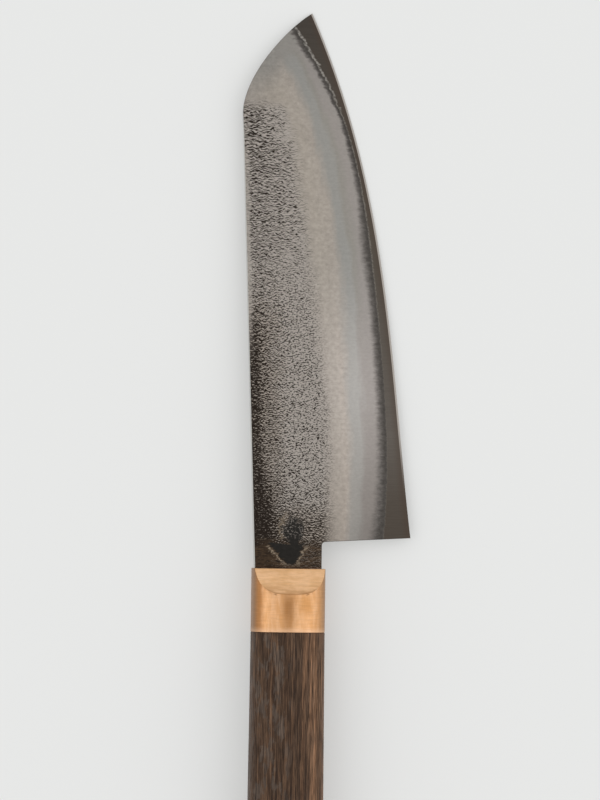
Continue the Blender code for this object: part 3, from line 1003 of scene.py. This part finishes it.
def copper_collar(material):
    """The collar: boxy oval, a flat facet on each face in front, a socket for the wood behind."""
    rings = rounded_end(0, grip_size(0), FERRULE_ROUNDING, 1)
    for step in range(1, COLLAR_RINGS):
        y = -step / COLLAR_RINGS * FERRULE_LENGTH
        rings.append((y, *grip_size(y)))
    rings += rounded_end(-FERRULE_LENGTH, grip_size(-FERRULE_LENGTH), FERRULE_ROUNDING, -1)[::-1]
    collar = turned_bar("copper_collar", rings)
    low = FACET_FRONT_THICK / 2
    high = grip_size(-FACET_LENGTH)[1] / 2
    slope = Vector((0, (high - low) / FACET_LENGTH, 1)).normalized()
    planes = [(side * low, (0, slope.y, side * slope.z)) for side in (1, -1)]
    for height, facing in planes:
        edit(collar, "FACE")
        bpy.ops.mesh.select_all(action="SELECT")
        plane = {"plane_co": (0, 0, height), "plane_no": facing, "threshold": JOIN}
        bpy.ops.mesh.bisect(use_fill=True, clear_outer=True, **plane)
        done()
    normals = rows_of(collar.data.polygons, "normal")
    on_facet = [np.abs(np.abs(normals @ np.array(facing)) - 1) < SAME_FACING for height, facing in planes]
    pick_faces(collar, on_facet[0] | on_facet[1])
    edit(collar, "FACE")
    bpy.ops.mesh.region_to_loop()
    bpy.ops.mesh.bevel(offset=FACET_BEVEL, segments=FACET_BEVEL_STEPS, affect="EDGES")
    turn_out()

    cut(collar, tang_bar("tang_slot", CUT_MARGIN, CLEARANCE))
    width, thick = grip_size(-FERRULE_LENGTH)
    inner = (width - 2 * FERRULE_WALL, thick - 2 * FERRULE_WALL)
    socket = [(SOCKET_DEPTH - FERRULE_LENGTH, *inner), (-FERRULE_LENGTH - CUT_MARGIN, *inner)]
    cut(collar, turned_bar("wood_socket", socket))
    normals = rows_of(collar.data.polygons, "normal")
    forwards, upwards = FACET_LEAN
    facing = (normals[:, 1] > forwards) & (np.abs(normals[:, 2]) > upwards)
    keep(collar, "facet", facing, "FACE")
    keep_place(collar)
    finish_piece(collar, "ferrule", material, COLLAR_ANGLE)


def oak_grip(material):
    """The wooden grip: tenon in the collar, fine grain relief, chamfered butt and the tang's bore."""
    joint = -FERRULE_LENGTH - JOINT_GAP
    butt = -FERRULE_LENGTH - WOOD_LENGTH
    chamfer = butt + BUTT_CHAMFER
    width, thick = grip_size(-FERRULE_LENGTH)
    less = 2 * (FERRULE_WALL + CLEARANCE)
    tenon_front = SOCKET_DEPTH - FERRULE_LENGTH - CLEARANCE
    rings = [(tenon_front, width - less, thick - less), (joint, width - less, thick - less)]
    rings += rounded_end(joint, (width, thick), WOOD_ROUNDING, 1)
    even_from = joint - WOOD_ROUNDED
    for step in range(1, WOOD_RINGS):
        y = even_from + (chamfer - even_from) * step / WOOD_RINGS
        rings.append((y, *grip_size(y)))
    end_width, end_thick = grip_size(chamfer)
    for step in range(BUTT_RINGS + 1):
        turn = step / BUTT_RINGS * math.pi / 2
        shrink = BUTT_ROUND_SHARE * (1 - math.cos(turn)) + (1 - BUTT_ROUND_SHARE) * step / BUTT_RINGS
        less = 2 * BUTT_CHAMFER * shrink
        rings.append((butt + BUTT_CHAMFER * (1 - math.sin(turn)), end_width - less, end_thick - less))
    grip = turned_bar("oak_grip", rings)
    points = points_of(grip)
    shown = (points[:, 1] < joint - GRAIN_OFF_JOINT) & (points[:, 1] > butt + GRAIN_OFF_BUTT)
    relief = [0.5 + noise.noise(place) for place in points / MM / np.array(GRAIN_WAVE)]
    press(grip, np.where(shown, np.clip(relief, 0, 1), -1), "NORMAL", -GRAIN_DEPTH)
    cut(grip, tang_bar("tang_bore", tenon_front + CUT_MARGIN, CLEARANCE + BEDDING_WALL + CLEARANCE))
    keep_place(grip)
    finish_piece(grip, "handle", material, GRIP_ANGLE)


def tone(red, green, blue):
    """A colour as the eye reads it, from 0 to 255, turned into the shader's linear numbers."""
    values = []
    for value in (red, green, blue):
        share = value / 255
        values.append(share / 12.92 if share <= 0.04045 else ((share + 0.055) / 1.055) ** 2.4)
    return (*values, 1)


def put(kind, feeds=None, tree=None, **settings):
    """Adds a node to a shader tree; feeds are values or sockets, and a socket brings its own tree."""
    feeds = feeds or {}
    if tree is None:
        tree = next(feed.id_data for feed in feeds.values() if isinstance(feed, bpy.types.NodeSocket))
    made = tree.nodes.new("ShaderNode" + kind)
    for name, value in settings.items():
        setattr(made, name, value)
    for slot, feed in feeds.items():
        if isinstance(feed, bpy.types.NodeSocket):
            tree.links.new(feed, made.inputs[slot])
        else:
            made.inputs[slot].default_value = feed
    return made


def link(shader, name, feed):
    """Feeds one of the shader's own sockets."""
    shader.id_data.links.new(feed, shader.inputs[name])


def kept(tree, name, kind="Fac"):
    """What the piece keeps at each corner: a number, or its place as a vector."""
    return put("Attribute", tree=tree, attribute_name=name).outputs[kind]


def sides_of(place):
    """A place's three numbers: across, along and up."""
    return put("SeparateXYZ", {0: place}).outputs


def moved(place, way):
    """A place moved by a vector."""
    return put("VectorMath", {0: place, 1: way}, operation="ADD").outputs[0]


def sum_of(operation, *feeds):
    """One sum."""
    return put("Math", dict(enumerate(feeds)), operation=operation).outputs[0]


def plus(first, second):
    """Two values added."""
    return sum_of("ADD", first, second)


def minus(first, second):
    """One value less another."""
    return sum_of("SUBTRACT", first, second)


def times(first, *others):
    """Values multiplied."""
    for other in others:
        first = sum_of("MULTIPLY", first, other)
    return first


def larger(first, second):
    """The larger of two values."""
    return sum_of("MAXIMUM", first, second)


def size_of(value):
    """A value without its sign."""
    return sum_of("ABSOLUTE", value)


def scaled(value, factor, offset=0):
    """A value times a factor, plus an offset."""
    return sum_of("MULTIPLY_ADD", value, factor, offset)


def centred(pattern):
    """A pattern around 0 instead of a half."""
    return minus(pattern, 0.5)


def rest(share):
    """What a share leaves over."""
    return minus(1, share)


def eased(value, low, high, start=0, end=1):
    """A value taken from one range to another with soft ends."""
    feeds = {"Value": value, "From Min": low, "From Max": high, "To Min": start, "To Max": end}
    return put("MapRange", feeds, interpolation_type="SMOOTHSTEP").outputs[0]


def share_of(spans, *values):
    """Product of values, each eased over its own span."""
    return times(*(eased(value, *span) for value, span in zip(values, spans)))


def between(share, first, second):
    """Two numbers mixed."""
    return put("Mix", {0: share, 2: first, 3: second}, data_type="FLOAT").outputs[0]


def mixed(share, first, second, how="MIX"):
    """Two colours mixed, each a socket or three numbers as the eye reads them."""
    first, second = (tone(*each) if isinstance(each, tuple) else each for each in (first, second))
    made = put("Mix", {0: share, 6: first, 7: second}, data_type="RGBA", blend_type=how)
    return made.outputs[2]


def marked(colour, mark, *values, by=()):
    """A colour with a mark that follows the given values, weakened by more shares; marks are stains and
    painted light and shade.
    """
    return mixed(times(share_of(mark[:-1], *values), *by), colour, mark[-1])


def shaded(colour, level):
    """A colour made lighter or darker by a level around 1."""
    grey = put("CombineColor", {0: level, 1: level, 2: level}).outputs[0]
    return mixed(1, colour, grey, "MULTIPLY")


def varied(colour, pattern, shades, span=PATTERN_SPAN):
    """A colour shaded by a pattern, between two shades."""
    return shaded(colour, eased(pattern, *span, *shades))


def ramp(share, rows, as_seen=True):
    """A colour for each share, from rows of a share and a colour as the eye reads it or as factors."""
    made = put("ValToRGB", {0: share})
    elements = made.color_ramp.elements
    while len(elements) < len(rows):
        elements.new(0.5)
    for element, row in zip(elements, rows):
        element.position = row[0]
    for element, row in zip(elements, rows):
        element.color = tone(*row[1:]) if as_seen else (*row[1:], 1)
    return made.outputs[0]


def grain(place, scale, detail=2, rough=0.5, twist=0, turn=(0, 0, 0)):
    """Soft noise, with its fineness given along each axis."""
    spread = put("Mapping", {"Vector": place, "Scale": scale, "Rotation": turn}, vector_type="POINT")
    feeds = {"Vector": spread.outputs[0], "Scale": 1, "Detail": detail, "Roughness": rough}
    feeds["Distortion"] = twist
    return put("TexNoise", feeds).outputs[0]


def bump(shader, height, distance, strength):
    """Raises the surface by a pattern."""
    made = put("Bump", {"Height": height, "Distance": distance, "Strength": strength})
    link(shader, "Normal", made.outputs[0])


def new_finish(name, roughness, metallic):
    """A material with its shader."""
    made = bpy.data.materials.new(name)
    made.use_nodes = True
    shader = made.node_tree.nodes["Principled BSDF"]
    shader.inputs["Roughness"].default_value = roughness
    shader.inputs["Metallic"].default_value = metallic
    return made, made.node_tree, shader


def core_tone(along):
    """The core steel's colour from the heel to the tip."""
    return ramp(scaled(along, 1 / BLADE_SPAN), CORE_TONES)


def weld_wander(place, along):
    """How far the visible weld line strays from its place towards the spine, in millimetres."""
    stray = times(centred(grain(place, *WELD_WAVES)), eased(along, *WELD_STRAY))
    return plus(stray, share_of(WELD_TIPWARD, along, along))


def with_weld_line(colour, place, along, off_line):
    """A colour with the pale, broken weld line, paler and wider towards the tip."""
    line = sum_of("DIVIDE", size_of(off_line), eased(along, *WELD_PALER, *WELD_WIDTHS))
    line = share_of(WELD_LINE, line, grain(place, *WELD_BREAKS), along)
    return mixed(line, colour, mixed(eased(along, *WELD_PALER), *WELD_TONES))


def with_rims(colour, tree, along):
    """A steel's colour with the dark heel line, painted shade for the heel's shadowed end face, and the
    polished spine.
    """
    colour = marked(colour, HEEL_SHADE_LINE, kept(tree, "from_heel"))
    return marked(colour, SPINE_RIM, kept(tree, "from_back"), along)


def ground_tints(tree, place, along):
    """The ground bevel: bands of tint that follow the edge, blotches, and levels along the blade."""
    wander = scaled(grain(place, *CLOUDS), *TINT_WANDER)
    across = scaled(plus(kept(tree, "from_weld"), wander), 1 / TINT_SPAN)
    ground = mixed(eased(along, *LOW_TO_HIGH), ramp(across, LOW_GROUND), ramp(across, HIGH_GROUND))
    ground = marked(ground, CLIP_GREY, along, kept(tree, "from_back"))
    blotches = times(centred(grain(place, *BLOTCHES)), eased(across, *BLOTCHED))
    ground = shaded(ground, scaled(blotches, BLOTCH_WEIGHT, 1))
    lengthwise = ramp(scaled(along, 1 / BLADE_SPAN), LENGTHWISE, as_seen=False)
    ground = mixed(1, ground, lengthwise, "MULTIPLY")
    for *spans, weight in HEEL_TINTS:
        ground = shaded(ground, scaled(share_of(spans, along, across), weight, 1))
    return ground


def with_weld_band(ground, tree, place, along, mottle, ragged):
    """The ground with its dark band, the bare core and the pale line at the weld."""
    off_line = minus(kept(tree, "from_weld"), weld_wander(place, along))
    band = plus(sum_of("DIVIDE", off_line, kept(tree, "band_width")), centred(ragged))
    tipward = eased(along, *BAND_TIPWARD)
    band_colour = mixed(eased(band, *BAND_CENTRE), *BAND_TONES)
    band_colour = varied(band_colour, mottle, BAND_MOTTLE, BAND_MOTTLE_SPAN)
    band_colour = shaded(band_colour, scaled(tipward, BAND_TIP_SHADE, 1))
    ground = mixed(eased(band, scaled(tipward, *BAND_SOFTNESS), BAND_FULL), ground, band_colour)
    ground = mixed(eased(off_line, *CORE_SHOWS), ground, core_tone(along))
    return with_weld_line(ground, place, along, off_line)


def skin_crust(tree, place, along):
    """The forge skin's colour and its dashes: wavy dashes, round pits and pale worms in dark scale; the
    dashes are partly painted shade in the pits, with a painted highlight beside each.
    """
    from_back = kept(tree, "from_back")
    scale = kept(tree, "scale")
    neck = kept(tree, "neck")
    low_half = eased(along, *LOW_SKIN)
    wave = times(centred(grain(place, *SKIN_WAVES)), scaled(low_half, *WAVE_SWAY))
    wavy = moved(place, put("CombineXYZ", {1: wave}).outputs[0])
    # A copy of the dashes moved along the blade lightens one side of each: a painted highlight, with painted
    # shade on the other side
    beside = moved(wavy, (0, PAINTED_LIGHT_OFFSET, 0))
    dashes, lit_offset_dashes = (between(low_half, grain(spot, *DASHES), grain(spot, *CRUMBS)) for spot in (wavy, beside))

    # How dark each spot is
    lit_and_shaded = scaled(lit_offset_dashes, -PAINTED_LIGHT_SHARE, dashes)
    dotted = times(low_half, rest(scale))
    weight = scaled(dotted, DOTTED_WEIGHT - DASH_WEIGHT, DASH_WEIGHT)
    under_clip = share_of(UNDER_CLIP, along, from_back)
    faint = scaled(under_clip, UNDER_CLIP_FAINT, times(eased(from_back, *FAINT_SIDE), rest(neck)))
    weight = times(weight, rest(faint))
    level = scaled(minus(lit_and_shaded, (1 - PAINTED_LIGHT_SHARE) / 2), weight, SKIN_LEVEL - SPECK_WEIGHT / 2)
    level = scaled(grain(place, *SPECKS), SPECK_WEIGHT, level)
    level = scaled(kept(tree, "dark"), DARK_SHARE, level)
    level = scaled(dotted, DOTTED_PALE, level)
    level = scaled(under_clip, UNDER_CLIP_PALE, level)

    crust = ramp(level, SKIN_TONES)
    crust = marked(crust, DOT_STAIN, grain(place, *DOTS), by=(dotted,))
    crust = mixed(scale, crust, mixed(1, crust, WARM_SCALE, "MULTIPLY"))
    smooth = mixed(eased(grain(place, *NECK_GRAIN), *NECK_SPAN), *NECK_TONES)
    crust = mixed(times(neck, eased(along, *NECK_PLAIN)), crust, smooth)
    crust = marked(crust, FLECK_STAIN, grain(wavy, *FLECKS), along, from_back, by=(scale,))
    return crust, dashes


def with_arrow(colour, tree, place, mottle, ragged, dashes):
    """A colour with the bare dark arrow on the neck and its pale broken rim."""
    across, along = sides_of(place)[:2]
    arrow = plus(kept(tree, "arrow"), scaled(ragged, *ARROW_RAGGED))
    patch = marked(mixed(mottle, *ARROW_TONES), SPRINKLE_STAIN, dashes, along)
    colour = mixed(eased(arrow, *ARROW_INSIDE), colour, patch)
    shown = larger(eased(along, *RIM_TOP), share_of(RIM_LEFT, across, along))
    return marked(colour, RIM_STAIN, size_of(minus(arrow, RIM_MIDDLE)), dashes, along, by=(shown,))


def forged_finish():
    """Forge skin with pits and dark scale, ground bevel with tinted bands, dark band at the weld line."""
    made, tree, shader = new_finish("forged_cladding", 0.4, 1)
    place = kept(tree, "place", "Vector")
    along = sides_of(place)[1]
    skin = kept(tree, "skin")
    strokes = grain(place, *STROKES)
    mottle = grain(place, *MOTTLE)
    ragged = grain(place, *RAGGED)
    ground = varied(ground_tints(tree, place, along), strokes, STROKE_SHADES)
    ground = varied(ground, mottle, MOTTLE_SHADES)
    ground = with_weld_band(ground, tree, place, along, mottle, ragged)
    crust, dashes = skin_crust(tree, place, along)
    fringe = times(centred(grain(place, *HAIRS)), skin, rest(skin))
    colour = shaded(mixed(skin, ground, crust), scaled(fringe, HAIR_SHADE, 1))
    colour = with_arrow(colour, tree, place, mottle, ragged, dashes)
    link(shader, "Base Color", with_rims(colour, tree, along))
    roughness = scaled(kept(tree, "scale"), SCALE_ROUGHNESS, scaled(skin, *SKIN_ROUGHNESS))
    link(shader, "Roughness", roughness)
    bump(shader, scaled(strokes, STROKE_HEIGHT, times(dashes, skin)), *SKIN_BUMP)
    return made


def core_finish():
    """Dark core steel, a thin pale weld line and a pale keen edge."""
    made, tree, shader = new_finish("dark_core", 0.36, 1)
    place = kept(tree, "place", "Vector")
    along = sides_of(place)[1]
    from_edge = kept(tree, "from_edge")
    strokes = grain(place, *CORE_STROKES)
    colour = varied(core_tone(along), strokes, CORE_SHADES)
    colour = marked(colour, OUTER_CORE, from_edge)
    off_line = minus(kept(tree, "from_weld"), weld_wander(place, along))
    colour = marked(colour, INNER_CORE, off_line)
    colour = with_weld_line(colour, place, along, off_line)
    colour = marked(colour, KEEN_EDGE, from_edge, along)
    link(shader, "Base Color", with_rims(colour, tree, along))
    bump(shader, strokes, *CORE_BUMP)
    return made


def facet_tints(place):
    """The matter copper of the facet, with a painted shadow and a dark line of painted shade along its
    border.
    """
    across, along, up = sides_of(place)
    halves = zip((across, up), FACET_HALVES)
    oval, rise = (sum_of("POWER", scaled(size_of(side), 1 / half), SECTION_POWER) for side, half in halves)
    smears = grain(place, *COPPER_SMEARS)
    colour = mixed(eased(smears, *CLOUD_SPAN), *FACET_TONES)
    colour = marked(colour, FACET_SHADOW, along, smears)
    return marked(colour, FACET_BORDER_SHADE, plus(oval, rise), along)


def copper_finish():
    """Brushed copper, strokes running round the collar and a matter facet; painted shade on its left side and
    edges, a darker stripe of painted reflection in the middle and a painted highlight along its back rim.
    """
    made, tree, shader = new_finish("brushed_copper", 0.42, 1)
    place = kept(tree, "place", "Vector")
    across, along = sides_of(place)[:2]
    strokes = grain(place, *COPPER_STROKES)
    clouds = grain(place, *COPPER_CLOUDS)
    facet = kept(tree, "facet")
    body = rest(facet)
    colour = mixed(eased(clouds, *CLOUD_SPAN), *COPPER_TONES)
    # Painted shade down the left side of the collar
    leftward = plus(across, scaled(clouds, *LEFT_SIDE_SHADE_SWAY))
    colour = marked(colour, LEFT_SIDE_SHADE, leftward, by=(body,))
    # Painted shade along both edges of the collar
    edge = larger(eased(size_of(across), *SIDE_EDGES_SHADE), times(eased(across, *RIGHT_EDGE_SHADE), body))
    colour = mixed(edge, colour, EDGE_SHADE_TONE)
    off_spot = (size_of(minus(side, middle)) for side, middle in zip((across, along), TINTED_PLACE))
    colour = marked(colour, TINTED_SPOT, *off_spot, by=(body,))
    # Painted reflection: a dark stripe down the middle
    off_middle_reflection = size_of(plus(across, scaled(clouds, *MIDDLE_REFLECTION_SWAY)))
    colour = marked(colour, MIDDLE_REFLECTION_SHADE, off_middle_reflection, along, along, by=(body,))
    # Painted highlight along the back rim
    colour = marked(colour, BACK_RIM_HIGHLIGHT, along)
    colour = mixed(facet, colour, facet_tints(place))
    colour = varied(colour, strokes, COPPER_SHADES)
    link(shader, "Base Color", varied(colour, grain(place, *COPPER_STREAKS), COPPER_STREAK_SHADES))
    bump(shader, strokes, *COPPER_BUMP)
    return made


def oak_finish():
    """Dark fumed oak: straight streaks, fine fibres, open pores and rings that show on the butt; a painted
    grey sheen on the left side and painted light towards the right.
    """
    made, tree, shader = new_finish("dark_oak_oiled", 0.5, 0)
    shader.inputs["Specular IOR Level"].default_value = OAK_GLOSS
    place = kept(tree, "place", "Vector")
    across = sides_of(place)[0]
    woods = (OAK_STREAKS, OAK_BROAD, OAK_FIBRES, OAK_PORES)
    streaks, broad, fibres, pores = (grain(place, *wood, turn=OAK_TURN) for wood in woods)
    colour = ramp(streaks, OAK_TONES)
    warm = shaded(OAK_WARM_TONE, eased(streaks, *OAK_WARM_STREAKS))
    colour = mixed(share_of(OAK_WARM, broad, across), colour, warm)
    # Painted sheen in grey clouds, strongest on the left
    colour = marked(colour, OAK_SHEEN, grain(place, *OAK_SHEEN_CLOUDS), across)
    colour = varied(colour, fibres, OAK_FIBRE_SHADES)
    # Painted light: lighter towards the right side
    colour = shaded(colour, eased(across, *OAK_RIGHT_SIDE_LIGHT))
    pore = eased(pores, *OAK_PORE_EDGE)
    link(shader, "Base Color", mixed(times(pore, OAK_PORE_SHARE), colour, OAK_PORE_TONE))
    link(shader, "Roughness", scaled(pore, *OAK_ROUGHNESS))
    bump(shader, minus(scaled(streaks, OAK_STREAK_HEIGHT), pore), *OAK_BUMP)
    return made


def resin_finish():
    """Amber resin with faint clouding."""
    made, tree, shader = new_finish("amber_resin_cast", 0.4, 0)
    place = put("TexCoord", tree=tree).outputs["Object"]
    link(shader, "Base Color", mixed(grain(place, *RESIN_CLOUDS), *RESIN_TONES))
    return made


def make_floor():
    """A plain pale floor; the camera and gloss see part of its colour unshaded, so its shadows stay light."""
    bpy.ops.mesh.primitive_plane_add(size=FLOOR_SIZE, location=(0, 0, 0))
    floor = bpy.context.active_object
    floor.name = "pale_floor"
    made, tree, shader = new_finish("pale_paper", 0.9, 0)
    shader.inputs["Base Color"].default_value = FLOOR_COLOUR
    shader.inputs["Specular IOR Level"].default_value = 0
    glow = put("Emission", {"Color": FLOOR_COLOUR, "Strength": 1}, tree)
    path = put("LightPath", tree=tree)
    seen = larger(path.outputs["Is Camera Ray"], path.outputs["Is Glossy Ray"])
    seen = larger(seen, path.outputs["Is Transmission Ray"])
    mix = put("MixShader", {0: times(seen, FLOOR_GLOW), 1: shader.outputs[0], 2: glow.outputs[0]})
    link(tree.nodes["Material Output"], "Surface", mix.outputs[0])
    floor.data.materials.append(made)


def make_lights():
    """An even pale sky and two wide soft lamps, one on each side of the camera."""
    world = bpy.data.worlds.new("studio")
    bpy.context.scene.world = world
    world.use_nodes = True
    tree = world.node_tree
    sky = tree.nodes["Background"]
    sky.inputs["Color"].default_value = SKY_COLOUR
    sky.inputs["Strength"].default_value = SKY_STRENGTH
    shown = put("Background", {"Color": FLOOR_COLOUR, "Strength": 1}, tree)
    seen = put("LightPath", tree=tree).outputs["Is Camera Ray"]
    mix = put("MixShader", {0: seen, 1: sky.outputs[0], 2: shown.outputs[0]})
    link(tree.nodes["World Output"], "Surface", mix.outputs[0])
    across, along, height = LAMP_PLACE
    for name, side in (("left_lamp", -1), ("right_lamp", 1)):
        lamp = bpy.data.lights.new(name, "AREA")
        lamp.shape = "RECTANGLE"
        lamp.size, lamp.size_y = LAMP_SIZE
        lamp.energy = LAMP_POWER
        lit = bpy.data.objects.new(name, lamp)
        lit.location = (side * across, along, height)
        lit.rotation_euler = (0, side * math.atan2(across, height), 0)
        lit.visible_camera = False
        bpy.context.scene.collection.objects.link(lit)


def make_camera():
    """The camera looks straight down, turned a little so that the handle leans as in the picture."""
    data = bpy.data.cameras.new("overhead")
    data.sensor_fit = "VERTICAL"
    data.sensor_height = CAMERA_SENSOR
    data.lens = CAMERA_LENS
    data.clip_start, data.clip_end = CAMERA_RANGE
    camera = bpy.data.objects.new("overhead", data)
    camera.location = CAMERA_PLACE
    camera.rotation_euler = (0, 0, math.atan(CAMERA_LEAN))
    bpy.context.scene.collection.objects.link(camera)
    bpy.context.scene.camera = camera


def main():
    """Sets the stage, makes the pieces and gives the bedding its resin."""
    bpy.ops.object.select_all(action="DESELECT")
    bpy.context.scene.view_settings.view_transform = "Standard"
    make_camera()
    make_lights()
    make_floor()
    forged = forged_finish()
    forged_side("forged_right_side", "right_cladding", 1, RIGHT_SEED, forged)
    forged_side("forged_left_side", "left_cladding", -1, LEFT_SEED, forged)
    hard_core(core_finish())
    copper_collar(copper_finish())
    oak_grip(oak_finish())
    resin = resin_finish()
    for slot in frame["nodes"]["tang_bedding"].material_slots:
        slot.material = resin


main()
